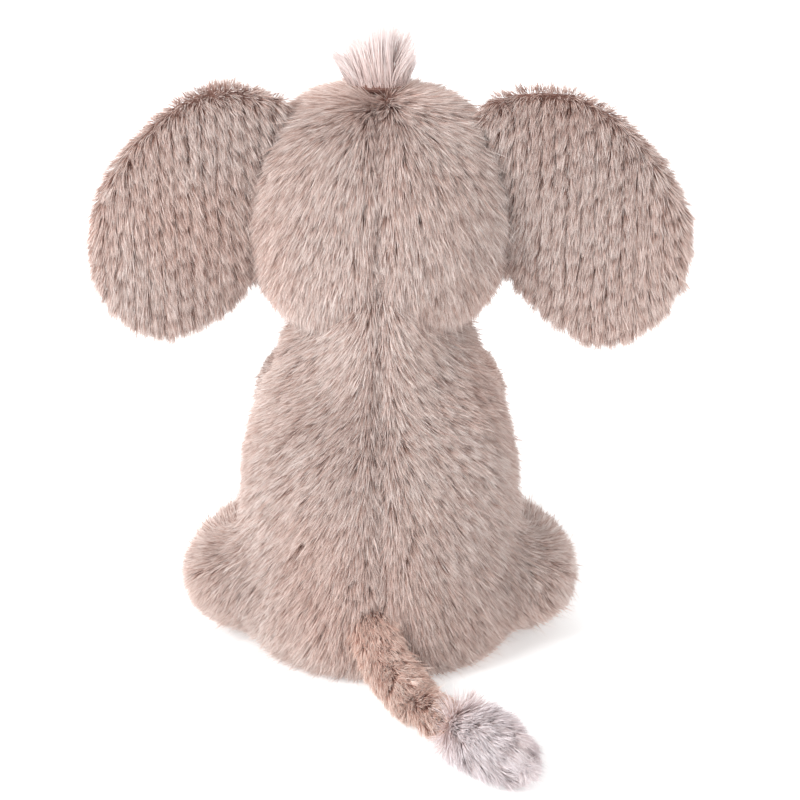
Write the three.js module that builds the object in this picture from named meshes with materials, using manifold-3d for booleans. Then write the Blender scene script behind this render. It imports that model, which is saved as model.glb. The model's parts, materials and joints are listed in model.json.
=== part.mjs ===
// A seated plush elephant, 280 mm tall, cut and sewn from long-pile fabric panels over fibre stuffing.
// Millimetres, +Z up. The elephant faces -Y, and its left side is +X. The origin is the middle of the
// seat, on the surface that the toy sits on.
//
// Each soft body is a form (a spun profile, warped or bent along a curve). Its fabric is the shell
// between the form and the same form drawn in by the fabric's thickness, cut into its sewn panels, and
// its stuffing fills what is left. Where a limb enters another body, that body has a pocket, made from
// the limb's own form swept through the limb's travel, so that the limb can move.
import * as THREE from "three";
import { mergeVertices } from "three/addons/utils/BufferGeometryUtils.js";
import Module from "manifold-3d";

const wasm = await Module();
wasm.setup();

// ---------------------------------------------------------------- driving dimensions
const FABRIC = 2.2; // backing with its pressed pile
const GAP = 0.6; // between neighbouring pieces
const CLEARANCE = 1; // round a limb that moves in a pocket
const SEAM = 0.4; // between two panels of one skin
const ROOT = 5; // how deep in another body a limb's sleeve ends
const FINE = 0.12; // how far a fabric face may move when small facets are joined
const ROUGH = 0.3; // the same for stuffing

const COLOURS = {
  fur: 0xc9a79c,
  lining: 0xdcc0b6,
  sole: 0xd8b9ad,
  stuffing: 0xf2efe9,
  pellets: 0xe6dfd2,
  tuft: 0xdcd0d0,
  eye: 0x1a1412,
  washer: 0xe8e8e8,
};

// Each outline is [half width, height], from the bottom of the axis to its top.
const TORSO = {
  outline: [
    [0, 0], [36, 0], [48, 4], [55, 14], [57.5, 30], [57, 50], [56.5, 70], [55.5, 88],
    [51.5, 106], [46, 120], [40.5, 131], [38.5, 140], [37, 145], [0, 145],
  ],
  depthShare: 0.86, // depth as a share of the width
  rump: 4, // how far the seat reaches back
  rumpTop: 66, // the height where that reach has faded out
  sideSeam: -8, // the plane between the back panels and the belly panel
  seatSeam: 3.2, // the height of the seat panel's seam
};
const PELLETS = { radii: [30, 26, 11], middle: [0, 2, 17] };

// The neck is a ball of stuffing in a band of fabric, half in the torso and half in the head.
const NECK = { radius: 33, socket: 34.2, middle: [0, 0, 146], bandReach: 17 };

const HEAD = {
  outline: [
    [0, 154], [31, 155], [39.5, 159], [47, 169], [51.5, 182], [53.5, 198], [52.5, 212],
    [48, 227], [39, 239], [26, 247.5], [12, 251], [0, 251.5],
  ],
  depthShare: 0.93,
  setBack: -3,
  sideSeam: -8,
};
const EYE = { radius: 6, place: [25, -44, 208], stem: 2, stemReach: 12, washer: [2.4, 7, 1.5] };
const TUFT = { foot: 12, top: 19, height: 280, depthShare: 0.6, setBack: -2 };

// A limb's form follows its axis, with the stated [share of the length, radius] along it. It starts
// with a ball round the axis's first point, which is the limb's pivot. Its sleeve is open where it is
// rooted in a body, or else on the near side of its mouth plane. It turns about the stated direction,
// over the stated range in degrees.
const LEG = {
  axis: [[59, -2, 29], [60, -24, 27], [54, -48, 25], [46, -68, 24]],
  radii: [[0, 19.5], [0.35, 19.5], [0.7, 19], [1, 20.5]],
  cap: 12,
  rootIn: "torso",
  turn: [0, 0, -1],
  range: [-8, 25],
  soleDepth: 6,
};
const ARM = {
  axis: [[35, -21, 117], [39, -38, 108], [39, -55, 95], [35, -67, 81]],
  radii: [[0, 15.5], [0.4, 14.5], [0.75, 14], [1, 15]],
  cap: 11,
  rootIn: "torso",
  turn: [-1, 0, 0],
  range: [-5, 50],
};
const TRUNK = {
  axis: [[0, -38, 190], [0, -60, 187], [0, -76, 170], [0, -80, 150]],
  radii: [[0, 20], [0.3, 19], [0.7, 17], [1, 15.5]],
  cap: 5,
  rootIn: "head",
  turn: [-1, 0, 0],
  range: [-6, 30],
};
const TRUNK_TIP = {
  axis: [[0, -80, 150], [0, -83, 134], [0, -90, 118]],
  radii: [[0, 12.5], [0.5, 12], [1, 11.5]],
  cap: 7,
  mouth: { normal: [0, 0, -1], offset: -150 },
  turn: [-1, 0, 0],
  range: [-6, 30],
};
const TAIL = {
  axis: [[3, 46, 27], [-1, 60, 19], [-8, 73, 12.5], [-16, 85, 10]],
  radii: [[0, 9.5], [0.5, 8.5], [1, 9]],
  cap: 3,
  rootIn: "torso",
  turn: [0, 0, 1],
  range: [-30, 30],
};
const TAIL_END = {
  axis: [[-16, 85, 10], [-23, 95, 9.5], [-31, 105, 9.5]],
  radii: [[0, 6], [0.5, 6.5], [1, 6.5]],
  cap: 4,
  mouth: { normal: [-0.6, 0.8, 0], offset: 76.8 },
  turn: [0, 0, 1],
  range: [-30, 30],
};
const TAIL_TUFT = { axis: [[-33, 107, 9.5], [-44, 124, 11], [-56, 145, 13]], radii: [7, 10.5, 8] };

// An ear's outline, flat in the plane through its hinge: [distance from the middle plane, height].
const EAR = {
  outline: [
    [36, 247], [50, 253], [70, 257], [88, 251], [104, 239], [118, 222], [127, 198],
    [125, 175], [115, 156], [98, 147], [80, 149], [64, 158], [53, 172], [46, 192], [38, 220],
  ],
  middle: [84, 203],
  thickness: 15,
  hinge: [[37, 240], [50, 188]], // [distance from the middle plane, height] of its two ends
  setBack: 4,
  // The angle it lies back at rest, its droop in its own plane, its share of the size, and how far
  // its lower corner next to the head is drawn out.
  left: { layBack: 16, droop: -4, size: 0.935, drawnOut: 0 },
  right: { layBack: 3, droop: 4, size: 1.07, drawnOut: 11 },
  range: [-15, 40],
};

const RING = 20; // facets round the torso and the head
const LIMB_RING = 12; // facets round a limb

// ---------------------------------------------------------------- solids
// A closed body from a closed geometry, with its faces out.
function solid(geometry) {
  const plain = new THREE.BufferGeometry().setAttribute("position", geometry.attributes.position);
  if (geometry.index) plain.setIndex(geometry.index);
  const merged = mergeVertices(plain, 1e-3);
  const index = merged.index.array;
  const corners = [];
  for (let i = 0; i < index.length; i += 3) {
    const [a, b, c] = [index[i], index[i + 1], index[i + 2]];
    if (a !== b && b !== c && a !== c) corners.push([a, b, c]);
  }
  const at = (i) => new THREE.Vector3().fromBufferAttribute(merged.attributes.position, i);
  const volume = corners.reduce((sum, [a, b, c]) => sum + at(a).dot(at(b).cross(at(c))), 0);
  if (volume < 0) corners.forEach((corner) => corner.reverse());
  const mesh = new wasm.Mesh({
    numProp: 3,
    vertProperties: new Float32Array(merged.attributes.position.array),
    triVerts: new Uint32Array(corners.flat()),
  });
  return new wasm.Manifold(mesh);
}

function geometryOf(manifold) {
  const mesh = manifold.getMesh();
  const places = new Float32Array(mesh.numVert * 3);
  for (let i = 0; i < mesh.numVert; i++) {
    places.set(mesh.vertProperties.subarray(i * mesh.numProp, i * mesh.numProp + 3), i * 3);
  }
  const geometry = new THREE.BufferGeometry()
    .setAttribute("position", new THREE.BufferAttribute(places, 3))
    .setIndex(new THREE.BufferAttribute(mesh.triVerts, 1));
  geometry.computeVertexNormals();
  return geometry;
}

// Keeps what lies beyond a plane, in the normal's direction.
const beyond = (manifold, normal, offset) => manifold.trimByPlane(normal, offset);

// Cuts along X, Y or Z (0, 1 or 2) into a high and a low part, with a seam's gap between them.
function seamed(manifold, axis, at) {
  const normal = [0, 0, 0];
  normal[axis] = 1;
  const high = beyond(manifold, normal, at + SEAM / 2);
  const low = beyond(manifold, normal.map((n) => -n), -(at - SEAM / 2));
  return [high, low];
}

// The largest closed body of a cut, without the crumbs that the cut leaves.
function largest(manifold) {
  const bodies = manifold.decompose();
  return bodies.reduce((best, body) => (body.volume() > best.volume() ? body : best));
}

// ---------------------------------------------------------------- profiles and forms
// Moves a profile out along its normals. Its two ends stay on the axis.
function drawn(profile, distance) {
  const last = profile.length - 1;
  return profile.map((point, i) => {
    if (i === 0) return new THREE.Vector2(0, point.y - distance);
    if (i === last) return new THREE.Vector2(0, point.y + distance);
    const into = point.clone().sub(profile[i - 1]).normalize();
    const out = profile[i + 1].clone().sub(point).normalize();
    const along = into.add(out).normalize();
    const slant = Math.max(along.dot(out), 0.5);
    const moved = point.clone().add(new THREE.Vector2(along.y, -along.x).multiplyScalar(distance / slant));
    moved.x = Math.max(moved.x, 0.5);
    return moved;
  });
}

const points2 = (list) => list.map(([x, y]) => new THREE.Vector2(x, y));
const points3 = (list, mirror = 1) => list.map(([x, y, z]) => new THREE.Vector3(x * mirror, y, z));

function warp(geometry, change) {
  const places = geometry.attributes.position;
  const point = new THREE.Vector3();
  for (let i = 0; i < places.count; i++) {
    point.fromBufferAttribute(places, i);
    change(point);
    places.setXYZ(i, point.x, point.y, point.z);
  }
  return geometry;
}

// A profile of [radius, height] spun round Z.
function spun(profile, facets) {
  return new THREE.LatheGeometry(profile, facets).rotateX(Math.PI / 2).rotateZ(Math.PI / 2);
}

function torsoForm(grow = 0) {
  const form = spun(drawn(points2(TORSO.outline), grow), RING);
  const shape = (p) => {
    const reach = THREE.MathUtils.clamp(1 - p.z / TORSO.rumpTop, 0, 1);
    p.y = p.y * TORSO.depthShare + TORSO.rump * reach * (0.6 + (0.4 * p.y) / TORSO.outline[4][0]);
  };
  return solid(warp(form, shape));
}

function headForm(grow = 0) {
  const form = spun(drawn(points2(HEAD.outline), grow), RING);
  return solid(warp(form, (p) => (p.y = p.y * HEAD.depthShare + HEAD.setBack)));
}

function ball(radius, middle, facets = 16) {
  const sphere = new THREE.SphereGeometry(radius, facets, facets / 2);
  return solid(sphere.rotateX(Math.PI / 2).translate(...middle));
}

// A limb's profile: half a ball round the pivot, the radii along the length, and a rounded end.
function limbProfile(limb, length, steps = 4) {
  const [, first] = limb.radii[0];
  const [, last] = limb.radii[limb.radii.length - 1];
  const profile = [];
  for (let i = 0; i < steps; i++) {
    const angle = ((i / steps - 1) * Math.PI) / 2;
    profile.push(new THREE.Vector2(first * Math.cos(angle), first * Math.sin(angle)));
  }
  for (const [share, radius] of limb.radii) profile.push(new THREE.Vector2(radius, share * length));
  for (let i = 1; i <= steps; i++) {
    const angle = ((i / steps) * Math.PI) / 2;
    profile.push(new THREE.Vector2(last * Math.cos(angle), length + limb.cap * Math.sin(angle)));
  }
  return profile;
}

// Bends a form spun round Z so that it follows a curve of the same length.
function bent(geometry, curve, length) {
  const reference = new THREE.Vector3(1, 0, 0);
  const across = new THREE.Vector3();
  const up = new THREE.Vector3();
  return warp(geometry, (p) => {
    const share = THREE.MathUtils.clamp(p.z / length, 0, 1);
    const middle = curve.getPointAt(share);
    const along = curve.getTangentAt(share);
    up.crossVectors(along, reference).normalize();
    across.crossVectors(up, along).normalize();
    const { x, y } = p;
    const past = p.z - share * length;
    p.copy(middle).addScaledVector(across, x).addScaledVector(up, y).addScaledVector(along, past);
  });
}

function limbForm(limb, mirror = 1, grow = 0) {
  const curve = new THREE.CatmullRomCurve3(points3(limb.axis, mirror));
  const length = curve.getLength();
  const profile = drawn(limbProfile(limb, length), grow);
  return solid(bent(spun(profile, LIMB_RING), curve, length));
}

// ---------------------------------------------------------------- motion
// A limb's pivot and direction. On the mirrored side it keeps its turn about X and reverses the rest.
function hingeOf(limb, mirror = 1) {
  const [x, y, z] = limb.axis[0];
  const [tx, ty, tz] = limb.turn;
  const turn = new THREE.Vector3(tx, ty * mirror, tz * mirror).normalize();
  return { pivot: new THREE.Vector3(x * mirror, y, z), turn, range: limb.range };
}

function turned(manifold, hinge, degrees) {
  const back = hinge.pivot.clone().negate();
  const matrix = new THREE.Matrix4().makeTranslation(hinge.pivot.x, hinge.pivot.y, hinge.pivot.z);
  matrix.multiply(new THREE.Matrix4().makeRotationAxis(hinge.turn, THREE.MathUtils.degToRad(degrees)));
  matrix.multiply(new THREE.Matrix4().makeTranslation(back.x, back.y, back.z));
  return manifold.transform(matrix.elements);
}

// What a limb passes through as it moves over its range.
function swept(manifold, hinge, steps = 2) {
  const [low, high] = hinge.range;
  let all = turned(manifold, hinge, low);
  for (let i = 1; i <= steps; i++) {
    all = all.add(turned(manifold, hinge, low + ((high - low) * i) / steps));
  }
  return all;
}

const pocketOf = (limb, mirror = 1) =>
  swept(limbForm(limb, mirror, CLEARANCE), hingeOf(limb, mirror)).hull().simplify(ROUGH * 2);

// ---------------------------------------------------------------- the ears
// An ear in its own plane: a flat pillow whose rim is the outline. All ears are made on the left.
function flatEar({ size, droop, drawnOut }, grow) {
  const [middleOut, middleHeight] = EAR.middle;
  const corners = EAR.outline.map(([out, height]) => {
    const low = Math.min(1, Math.max(0, (192 - height) / 35));
    const inner = Math.min(1, Math.max(0, (98 - out) / 30));
    return new THREE.Vector3(out + drawnOut * low * inner, 0, height);
  });
  const rim = new THREE.CatmullRomCurve3(corners, true);
  const edge = rim.getSpacedPoints(240).slice(0, 240).map((p) => {
    const [out, height] = [p.x - middleOut, p.z - middleHeight];
    return { angle: Math.atan2(height, out), reach: Math.hypot(out, height) };
  });
  const reachAt = (angle) => {
    const apart = (e) => Math.abs(Math.atan2(Math.sin(e.angle - angle), Math.cos(e.angle - angle)));
    return edge.reduce((best, e) => (apart(e) < apart(best) ? e : best)).reach;
  };
  const hingeOut = EAR.hinge[0][0];
  const { pivot } = earHinge(1);
  const flat = new THREE.Vector3(0, 1, 0);
  const form = new THREE.SphereGeometry(1, 22, 8).rotateX(Math.PI / 2);
  return solid(
    warp(form.rotateX(Math.PI / 2), (p) => {
      const share = Math.min(1, Math.hypot(p.x, p.z));
      const angle = Math.atan2(p.z, p.x);
      const reach = share * (share < 1e-6 ? 0 : reachAt(angle) + grow);
      const thickness = EAR.thickness + 2 * grow;
      const out = middleOut + reach * Math.cos(angle);
      p.x = hingeOut + (out - hingeOut) * size;
      p.z = middleHeight + reach * Math.sin(angle);
      p.y = (p.y * thickness) / 2 + EAR.setBack;
      p.sub(pivot).applyAxisAngle(flat, THREE.MathUtils.degToRad(droop)).add(pivot);
    }),
  );
}

function earHinge(mirror) {
  const [[topOut, topHeight], [lowOut, lowHeight]] = EAR.hinge;
  const line = new THREE.Vector3((topOut - lowOut) * mirror, 0, topHeight - lowHeight).normalize();
  const middleOut = ((topOut + lowOut) / 2) * mirror;
  const pivot = new THREE.Vector3(middleOut, EAR.setBack, (topHeight + lowHeight) / 2);
  // A positive turn brings the ear forward.
  return { pivot, turn: line.multiplyScalar(-mirror), range: EAR.range };
}

// Lays an ear back to its rest, and mirrors the right one.
function placedEar(manifold, mirror) {
  const { layBack } = earLook(mirror);
  const laid = turned(manifold, earHinge(1), -layBack);
  return mirror > 0 ? laid : laid.mirror([1, 0, 0]);
}

const earLook = (mirror) => (mirror > 0 ? EAR.left : EAR.right);
const earPocket = (mirror) =>
  swept(placedEar(flatEar(earLook(mirror), CLEARANCE), mirror), earHinge(mirror)).simplify(ROUGH * 2);

// ---------------------------------------------------------------- assembly
const elephant = new THREE.Group();
elephant.name = "elephant";

function add(name, manifold, colour, roughness = 0.9) {
  const finish = colour === "stuffing" ? ROUGH : FINE;
  const material = new THREE.MeshStandardMaterial({ color: COLOURS[colour], roughness, metalness: 0 });
  const mesh = new THREE.Mesh(geometryOf(largest(manifold).simplify(finish)), material);
  mesh.name = name;
  elephant.add(mesh);
}

const inside = (form) => form(-FABRIC - GAP);
const skinOf = (form) => form(0).subtract(form(-FABRIC));
const sides = [["left", 1], ["right", -1]];

function addTorso() {
  const pockets = [ball(NECK.socket, NECK.middle), pocketOf(TAIL)];
  for (const [, mirror] of sides) pockets.push(pocketOf(LEG, mirror), pocketOf(ARM, mirror));
  const cut = (manifold) => pockets.reduce((left, pocket) => left.subtract(pocket), manifold);

  const [upper, seat] = seamed(skinOf(torsoForm), 2, TORSO.seatSeam);
  const [back, belly] = seamed(cut(upper), 1, TORSO.sideSeam);
  const [backLeft, backRight] = seamed(back, 0, 0);
  add("back_panel_left", backLeft, "fur");
  add("back_panel_right", backRight, "fur");
  add("belly_panel", belly, "fur");
  add("seat_panel", seat, "fur");

  const [rx, ry, rz] = PELLETS.radii;
  const bag = (grow) => {
    const form = new THREE.SphereGeometry(1, 16, 8).scale(rx + grow, ry + grow, rz + grow);
    return solid(form.translate(...PELLETS.middle));
  };
  add("torso_stuffing", cut(inside(torsoForm)).subtract(openedDown(bag(GAP))), "stuffing");
  add("pellet_bag", bag(0), "pellets");
}

// A hollow that reaches down past the stuffing, so that it is open below.
function openedDown(hollow) {
  const [x, y, z] = PELLETS.middle;
  const well = new THREE.CylinderGeometry(6, 6, z, 12).rotateX(Math.PI / 2).translate(x, y, z / 2);
  return hollow.add(solid(well));
}

function addNeck() {
  const { radius, middle, bandReach } = NECK;
  const shell = ball(radius, middle).subtract(ball(radius - FABRIC, middle));
  const above = beyond(shell, [0, 0, 1], middle[2] - bandReach);
  add("neck_band", beyond(above, [0, 0, -1], -middle[2] - bandReach), "fur");
  add("neck_stuffing", ball(radius - FABRIC - GAP, middle), "stuffing");
}

function eyeForm(mirror, grow = 0) {
  const [x, y, z] = EYE.place;
  const bead = new THREE.SphereGeometry(EYE.radius + grow, 12, 6);
  const stem = new THREE.CylinderGeometry(EYE.stem + grow, EYE.stem + grow, EYE.stemReach, 8);
  stem.translate(0, EYE.stemReach / 2, 0);
  return solid(bead.translate(x * mirror, y, z)).add(solid(stem.translate(x * mirror, y, z)));
}

function washerForm(mirror, grow = 0) {
  const [x, y, z] = EYE.place;
  const [hole, radius, thickness] = EYE.washer;
  const disc = (r, t) => {
    const form = new THREE.CylinderGeometry(r, r, t, 12);
    return solid(form.translate(x * mirror, y + EYE.stemReach - 2, z));
  };
  const whole = disc(radius + grow, thickness + 2 * grow);
  return grow > 0 ? whole : whole.subtract(disc(hole, thickness * 3));
}

function addHead() {
  const cuts = [ball(NECK.socket, NECK.middle), pocketOf(TRUNK)];
  for (const [, mirror] of sides) {
    cuts.push(earPocket(mirror), eyeForm(mirror, GAP), washerForm(mirror, GAP));
  }
  const cut = (manifold) => cuts.reduce((left, piece) => left.subtract(piece), manifold);

  const [back, face] = seamed(cut(skinOf(headForm)), 1, HEAD.sideSeam);
  const [backLeft, backRight] = seamed(back, 0, 0);
  add("head_panel_left", backLeft, "fur");
  add("head_panel_right", backRight, "fur");
  add("face_panel", face, "fur");
  add("head_stuffing", cut(inside(headForm)), "stuffing");

  for (const [name, mirror] of sides) {
    add(`eye_${name}`, eyeForm(mirror), "eye", 0.15);
    add(`eye_washer_${name}`, washerForm(mirror), "washer", 0.5);
  }
  const top = TUFT.height;
  const foot = HEAD.outline[HEAD.outline.length - 1][1] - 4;
  const shoulder = [[TUFT.top, top - 9], [TUFT.top * 0.6, top - 2]];
  const profile = points2([[0, foot], [TUFT.foot, foot], ...shoulder, [0, top]]);
  const fan = warp(spun(profile, 14), (p) => (p.y = p.y * TUFT.depthShare + TUFT.setBack));
  add("hair_tuft", solid(fan).subtract(headForm(GAP)), "tuft");
}

// A limb's open sleeve and its stuffing, less whatever moves inside its far end.
function addLimb(name, limb, mirror = 1, hollow = null) {
  const form = (grow) => limbForm(limb, mirror, grow);
  let sleeve = skinOf(form);
  if (limb.rootIn) sleeve = sleeve.subtract(limb.rootIn === "head" ? headForm(-ROOT) : torsoForm(-ROOT));
  if (limb.mouth) sleeve = beyond(sleeve, limb.mouth.normal, limb.mouth.offset);
  let stuffing = inside(form);
  if (hollow) {
    sleeve = sleeve.subtract(hollow);
    stuffing = stuffing.subtract(hollow);
  }
  if (limb.soleDepth) {
    const curve = new THREE.CatmullRomCurve3(points3(limb.axis, mirror));
    const along = curve.getTangentAt(1);
    const cutAt = curve.getPointAt(1).dot(along) + limb.cap - limb.soleDepth;
    const sole = beyond(sleeve, along.toArray(), cutAt + SEAM / 2);
    add(`sole_${name.split("_")[1]}`, sole, "sole");
    sleeve = beyond(sleeve, along.clone().negate().toArray(), -(cutAt - SEAM / 2));
  }
  add(`${name}_sleeve`, sleeve, "fur");
  add(`${name}_stuffing`, stuffing, "stuffing");
}

function addEar(name, mirror) {
  const look = earLook(mirror);
  const shell = flatEar(look, 0).subtract(flatEar(look, -FABRIC));
  const [back, front] = seamed(shell, 1, EAR.setBack);
  add(`ear_back_${name}`, placedEar(back, mirror), "fur");
  add(`ear_lining_${name}`, placedEar(front, mirror), "lining");
  add(`ear_batting_${name}`, placedEar(flatEar(look, -FABRIC - GAP), mirror), "stuffing");
}

function addTailTuft() {
  const length = new THREE.CatmullRomCurve3(points3(TAIL_TUFT.axis)).getLength();
  const [first, middle, last] = TAIL_TUFT.radii;
  const swell = [[middle, length * 0.45], [last, length * 0.85]];
  const profile = points2([[0, 0], [first, 0.5], ...swell, [0, length + 2]]);
  const curve = new THREE.CatmullRomCurve3(points3(TAIL_TUFT.axis));
  const tuft = solid(bent(spun(profile, 12), curve, length));
  add("tail_tuft", tuft.subtract(limbForm(TAIL_END, 1, GAP)), "tuft");
}

addTorso();
addNeck();
addHead();
addLimb("trunk", TRUNK, 1, pocketOf(TRUNK_TIP));
addLimb("trunk_tip", TRUNK_TIP);
for (const [name, mirror] of sides) {
  addEar(name, mirror);
  addLimb(`arm_${name}`, ARM, mirror);
  addLimb(`leg_${name}`, LEG, mirror);
}
addLimb("tail", TAIL, 1, pocketOf(TAIL_END));
addLimb("tail_end", TAIL_END);
addTailTuft();

export default elephant;
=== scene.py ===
import json
import math

import bmesh
import bpy
import numpy as np
from mathutils import Matrix, Vector
from mathutils.bvhtree import BVHTree


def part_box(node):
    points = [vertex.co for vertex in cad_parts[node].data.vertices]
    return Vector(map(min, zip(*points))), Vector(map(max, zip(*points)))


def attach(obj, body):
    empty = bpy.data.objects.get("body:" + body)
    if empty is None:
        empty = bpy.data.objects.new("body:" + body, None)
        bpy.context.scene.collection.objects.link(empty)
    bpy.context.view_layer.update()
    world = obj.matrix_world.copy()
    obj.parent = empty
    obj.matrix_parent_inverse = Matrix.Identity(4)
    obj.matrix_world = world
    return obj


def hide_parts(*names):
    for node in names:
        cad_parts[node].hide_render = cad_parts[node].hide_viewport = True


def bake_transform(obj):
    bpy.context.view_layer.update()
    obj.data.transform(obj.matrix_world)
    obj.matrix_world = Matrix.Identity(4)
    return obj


# A seated plush elephant, dressed in long pile. Everything is in metres, in the frame of the CAD model:
# the elephant faces -Y, its left side is +X, and it sits on Z = 0.

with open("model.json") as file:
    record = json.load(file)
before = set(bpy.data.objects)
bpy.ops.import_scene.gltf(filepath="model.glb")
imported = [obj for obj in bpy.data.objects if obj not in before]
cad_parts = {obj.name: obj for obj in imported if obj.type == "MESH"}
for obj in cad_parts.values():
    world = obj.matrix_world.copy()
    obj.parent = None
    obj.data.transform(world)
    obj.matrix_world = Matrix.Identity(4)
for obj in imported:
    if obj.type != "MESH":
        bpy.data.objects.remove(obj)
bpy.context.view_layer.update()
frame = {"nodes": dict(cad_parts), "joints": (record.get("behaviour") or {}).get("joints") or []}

MM = 0.001
LEFT = ("left", 1)
RIGHT = ("right", -1)
SIDES = ("left", "right")

SIDE_SEAM = -8 * MM  # the plane between the back panels and the front ones, on torso and head
SEAT_SEAM = 3.3 * MM
CROWN = Vector((-3, 6, 253)) * MM  # where the head's pile parts
BACKING = 1.1 * MM  # thickness of the knitted backing

PILE_WIDTH = 0.25 * MM  # one visible bundle of fibres
LOCK_SPACING = 2.7 * MM  # between the middles of neighbouring locks

NECK_FOOT = 130 * MM  # where the torso's panels end and the neck begins
HIP = 46 * MM  # how far out the back panel ends and the hip begins
HIP_END = 72 * MM  # the hip's outer place, given with the leg's name; the hip piece does not turn with the leg
CREASE = 13 * MM  # radius to which the stretched skin spans a crease
NAPE = [((0, 14, 140), 26), ((0, 21, 154), 21.5), ((0, 28, 166), 16.5), ((0, 33, 174), 12)]


# ------------------------------------------------------------------ camera, light and floor
CAMERA_AIM = Vector((-9, 0, 114)) * MM
CAMERA_AWAY = 1.1  # from the aim to the camera
CAMERA_RISE = math.radians(20)  # how far over the horizon the camera stands, behind the toy
CAMERA_LENS = 113

LIT_POINT = Vector((0, 0, 0.12))
LIGHTS = {
    "key_light": {"place": (0.9, 0.9, 1.0), "size": 0.6, "power": 18.5},
    "fill_light": {"place": (-1.1, 0.8, 0.6), "size": 0.9, "power": 2.5},
    "front_light": {"place": (0.3, -1.2, 0.9), "size": 0.9, "power": 6},
}
WORLD_STRENGTH = 0.8
FLOOR_HALF = 6  # from the middle of the floor to its edge


def add_camera():
    away = Vector((0, math.cos(CAMERA_RISE), math.sin(CAMERA_RISE)))
    camera = bpy.data.objects.new("camera", bpy.data.cameras.new("camera"))
    camera.location = CAMERA_AIM + CAMERA_AWAY * away
    camera.rotation_euler = (CAMERA_AIM - camera.location).to_track_quat("-Z", "Y").to_euler()
    camera.data.lens = CAMERA_LENS
    camera.data.clip_start = 0.01
    bpy.context.scene.collection.objects.link(camera)
    bpy.context.scene.camera = camera


def add_light(name, place, size, power):
    lamp = bpy.data.objects.new(name, bpy.data.lights.new(name, "AREA"))
    lamp.data.size = size
    lamp.data.energy = power
    lamp.location = place
    toward = LIT_POINT - Vector(place)
    lamp.rotation_euler = toward.to_track_quat("-Z", "Y").to_euler()
    bpy.context.scene.collection.objects.link(lamp)


def add_studio():
    for name, light in LIGHTS.items():
        add_light(name, **light)
    bpy.context.scene.view_settings.view_transform = "Standard"
    world = bpy.data.worlds.new("studio")
    world.use_nodes = True
    world.node_tree.nodes["Background"].inputs["Color"].default_value = (1, 1, 1, 1)
    world.node_tree.nodes["Background"].inputs["Strength"].default_value = WORLD_STRENGTH
    bpy.context.scene.world = world

    built = bmesh.new()
    bmesh.ops.create_grid(built, x_segments=1, y_segments=1, size=FLOOR_HALF)
    floor = finished_object("floor", built)
    floor.data.materials.append(floor_paint())


# ------------------------------------------------------------------ node graphs
class Wire:
    """An output socket that takes part in sums: values through Math, vectors through Vector Math."""

    def __init__(self, graph, socket):
        self.graph = graph
        self.socket = socket

    def also(self, output):
        return Wire(self.graph, self.socket.node.outputs[output])

    def maths(self, operation, *terms):
        vectors = [t for t in terms if not isinstance(t, (int, float))]
        vector = any(t.socket.type == "VECTOR" if isinstance(t, Wire) else True for t in vectors)
        kind = "ShaderNodeVectorMath" if vector else "ShaderNodeMath"
        sockets = dict(enumerate(terms))
        return self.graph.node(kind, {"operation": operation}, sockets)

    def __add__(self, other):
        return self.maths("ADD", self, other)

    def __sub__(self, other):
        return self.maths("SUBTRACT", self, other)

    def __mul__(self, other):
        return self.maths("MULTIPLY", self, other)

    def __pow__(self, other):
        return self.maths("POWER", self, other)

    def __gt__(self, other):
        return self.maths("GREATER_THAN", self, other)

    def scaled(self, amount):
        return self.graph.node(
            "ShaderNodeVectorMath", {"operation": "SCALE"}, {0: self, "Scale": amount}
        )


class Graph:
    """A node tree, and the one way in which its nodes are made."""

    def __init__(self, tree):
        self.tree = tree

    def node(self, kind, settings=None, sockets=None, output=0):
        made = self.tree.nodes.new(kind)
        for name, value in (settings or {}).items():
            if name == "stops":
                self.set_stops(made.color_ramp, value)
            else:
                setattr(made, name, value)
        for key, value in (sockets or {}).items():
            if isinstance(value, Wire):
                self.tree.links.new(value.socket, made.inputs[key])
            elif value is not None:
                made.inputs[key].default_value = value
        return Wire(self, made.outputs[output]) if made.outputs else made

    @staticmethod
    def set_stops(ramp, stops):
        while len(ramp.elements) < len(stops):
            ramp.elements.new(0.5)
        for element, (place, shade) in zip(ramp.elements, stops):
            element.position = place
            element.color = (*shade, 1)

    def attribute(self, name, kind="FLOAT"):
        return self.node("GeometryNodeInputNamedAttribute", {"data_type": kind}, {"Name": name})

    def random(self, low, high, seed):
        kind = "FLOAT_VECTOR" if isinstance(low, tuple) else "FLOAT"
        first = 0 if kind == "FLOAT_VECTOR" else 2
        made = self.node(
            "FunctionNodeRandomValue", {"data_type": kind}, {first: low, first + 1: high, "Seed": seed}
        )
        return made.also(0 if kind == "FLOAT_VECTOR" else 1)

    def any_way(self, seed):
        """A random direction, up to 1 along each axis."""
        return self.random((-1.0, -1.0, -1.0), (1.0, 1.0, 1.0), seed)

    def store(self, geometry, name, value, kind="FLOAT"):
        return self.node(
            "GeometryNodeStoreNamedAttribute",
            {"data_type": kind, "domain": "POINT"},
            {"Geometry": geometry, "Name": name, "Value": value},
        )


# ------------------------------------------------------------------ materials
def new_material(name):
    material = bpy.data.materials.new(name)
    material.use_nodes = True
    graph = Graph(material.node_tree)
    shader = material.node_tree.nodes["Principled BSDF"]
    return material, graph, shader


def join_to(graph, shader, **wires):
    for name, wire in wires.items():
        graph.tree.links.new(wire.socket, shader.inputs[name.replace("_", " ")])


def place_wire(graph):
    return graph.node("ShaderNodeTexCoord").also("Object")


def noise_wire(graph, scale, detail=2.0, roughness=0.5):
    sockets = {"Vector": place_wire(graph), "Scale": scale, "Detail": detail, "Roughness": roughness}
    return graph.node("ShaderNodeTexNoise", {}, sockets)


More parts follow.
